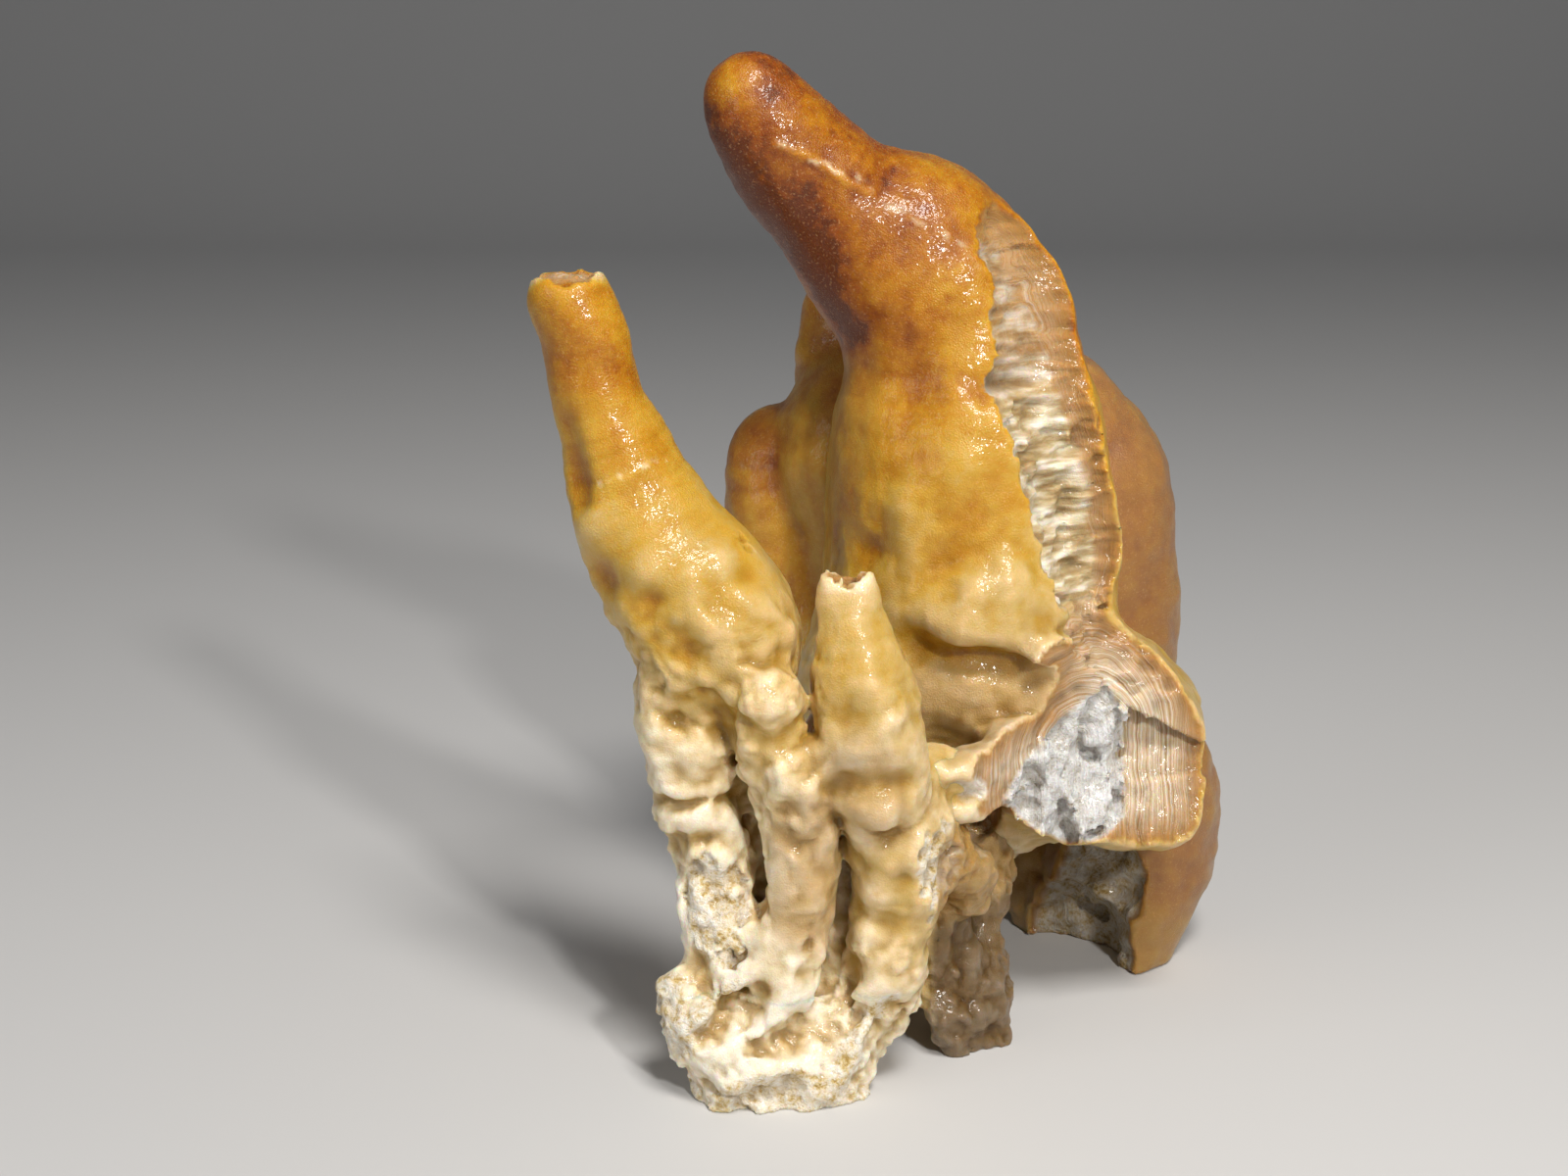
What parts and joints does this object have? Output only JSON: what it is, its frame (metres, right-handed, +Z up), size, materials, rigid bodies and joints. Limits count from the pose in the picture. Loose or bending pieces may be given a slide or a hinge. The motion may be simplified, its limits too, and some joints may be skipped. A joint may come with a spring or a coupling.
{
  "type": "aragonite stalactite",
  "caption": "Cluster of fused aragonite stalactites with a tall bent spire, free fingers, knobbly stems, a broken banded face and a porous root that it stands on",
  "frame": {"origin": "middle of the bounding box, on the floor that the cluster stands on", "axes": "+Z up along the spire, +X to the right and -Y towards the viewer, with the free fingers in front on the left"},
  "size_m": [0.1348, 0.1103, 0.1845],
  "materials": {
    "amber_aragonite": "glassy amber to golden skin of tiny crystals, wet-looking, with cream banded breaks",
    "cream_aragonite": "smooth cream and tan flowstone, porous and chalky where it is broken"
  },
  "bodies": {
    "root": {"main_stalactite": "amber_aragonite", "rear_left_stalactite": "amber_aragonite", "rear_right_stalactite": "amber_aragonite", "left_stalactite": "amber_aragonite", "left_leg": "cream_aragonite", "middle_leg": "cream_aragonite", "front_stalactite": "amber_aragonite", "curtain": "cream_aragonite", "root": "cream_aragonite"}
  },
  "joints": []
}
